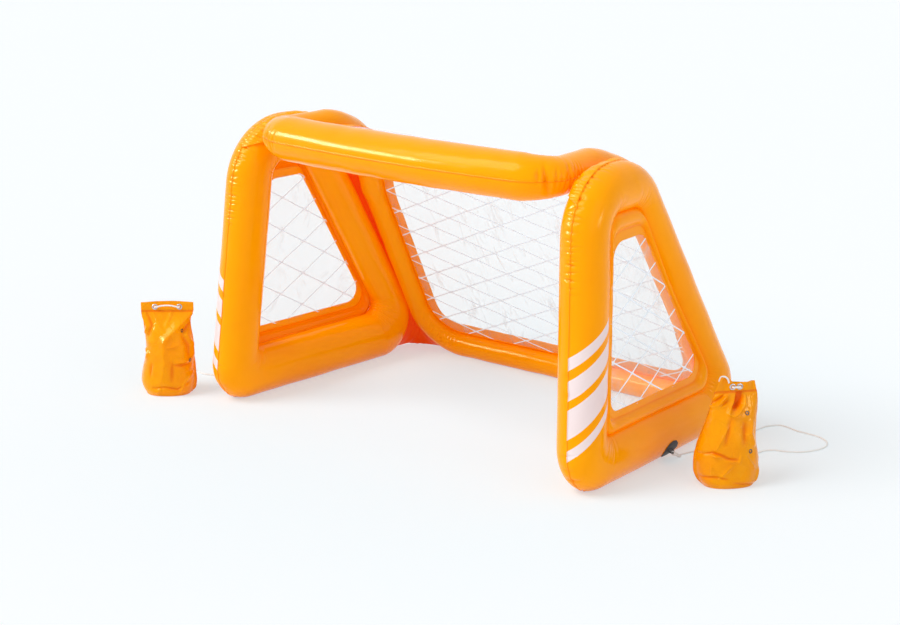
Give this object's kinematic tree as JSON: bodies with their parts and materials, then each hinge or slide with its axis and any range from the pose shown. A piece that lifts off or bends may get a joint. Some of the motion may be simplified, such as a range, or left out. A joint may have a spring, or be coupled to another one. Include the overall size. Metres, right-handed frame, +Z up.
{
  "type": "inflatable pool goal",
  "caption": "Inflatable orange goal with clear net-printed side and back windows, corner webs, inflation valves and water-filled weight bags tied on with cords.",
  "frame": {"origin": "on the floor, midway between the outermost points of the goal with its bags, left to right and front to back", "axes": "+X to the right seen from the mouth, +Y from the mouth to the back, +Z up"},
  "size_m": [2.0836, 0.943, 0.838],
  "materials": {
    "orange_vinyl": "glossy soft vinyl",
    "red_orange_vinyl": "single sheet of soft vinyl",
    "clear_film": "clear soft vinyl film with a white net print",
    "valve_and_bag_vinyl": "glossy soft vinyl",
    "white_cord": "braided cord",
    "black_rubber": "moulded rubber",
    "plated_eyelet": "plated, rolled edge",
    "dark_eyelet": "dark plated"
  },
  "bodies": {
    "goal": {"back_valve_base": "valve_and_bag_vinyl", "back_window": "clear_film", "back_window_border": "orange_vinyl", "left_cord_hitch": "white_cord", "left_corner_web": "red_orange_vinyl", "left_side_frame": "orange_vinyl", "left_tie_loop": "black_rubber", "left_tie_patch": "black_rubber", "left_top_web": "red_orange_vinyl", "left_valve_base": "valve_and_bag_vinyl", "left_window": "clear_film", "left_window_border": "orange_vinyl", "over_ring": "orange_vinyl", "right_cord_hitch": "white_cord", "right_corner_web": "red_orange_vinyl", "right_side_frame": "orange_vinyl", "right_tie_loop": "black_rubber", "right_tie_patch": "black_rubber", "right_top_web": "red_orange_vinyl", "right_valve_base": "valve_and_bag_vinyl", "right_window": "clear_film", "right_window_border": "orange_vinyl"},
    "left_bag_on_cord": {"left_bag_body": "valve_and_bag_vinyl", "left_bag_hem": "valve_and_bag_vinyl", "left_bag_lacing": "white_cord", "left_drain_eyelet_upper": "dark_eyelet", "left_drain_eyelet_lower": "dark_eyelet", "left_cord": "white_cord", "left_cord_knot": "white_cord", "left_front_grommet_left": "plated_eyelet", "left_front_grommet_right": "plated_eyelet", "left_back_grommet_left": "plated_eyelet", "left_back_grommet_right": "plated_eyelet"},
    "right_bag_on_cord": {"right_bag_body": "valve_and_bag_vinyl", "right_bag_hem": "valve_and_bag_vinyl", "right_bag_lacing": "white_cord", "right_drain_eyelet_upper": "dark_eyelet", "right_drain_eyelet_lower": "dark_eyelet", "right_cord": "white_cord", "right_cord_knot": "white_cord", "right_front_grommet_left": "plated_eyelet", "right_front_grommet_right": "plated_eyelet", "right_back_grommet_left": "plated_eyelet", "right_back_grommet_right": "plated_eyelet"},
    "left_plug": {"left_valve_plug": "valve_and_bag_vinyl"},
    "right_plug": {"right_valve_plug": "valve_and_bag_vinyl"},
    "back_plug": {"back_valve_plug": "valve_and_bag_vinyl"}
  },
  "joints": [
    {"name": "left_bag_swing", "type": "hinge", "parent": "goal", "child": "left_bag_on_cord", "pos_m": [-0.67382, 0.00203, 0.0065], "axis": [0, 0, 1], "range_deg": [-35, 5]},
    {"name": "right_bag_swing", "type": "hinge", "parent": "goal", "child": "right_bag_on_cord", "pos_m": [0.63729, 0.04552, 0.0065], "axis": [0, 0, 1], "range_deg": [-35, 5]},
    {"name": "left_plug_lift", "type": "hinge", "parent": "goal", "child": "left_plug", "pos_m": [-0.66807, 0.25202, 0.07764], "axis": [0.0563, -0.0028, 0.9984], "range_deg": [0, 140]},
    {"name": "right_plug_lift", "type": "hinge", "parent": "goal", "child": "right_plug", "pos_m": [0.62608, 0.25202, 0.07764], "axis": [0.0563, 0.0028, -0.9984], "range_deg": [0, 140]},
    {"name": "back_plug_lift", "type": "hinge", "parent": "goal", "child": "back_plug", "pos_m": [0.237, 0.46306, 0.05151], "axis": [0, -0.4571, 0.8894], "range_deg": [0, 140]}
  ]
}
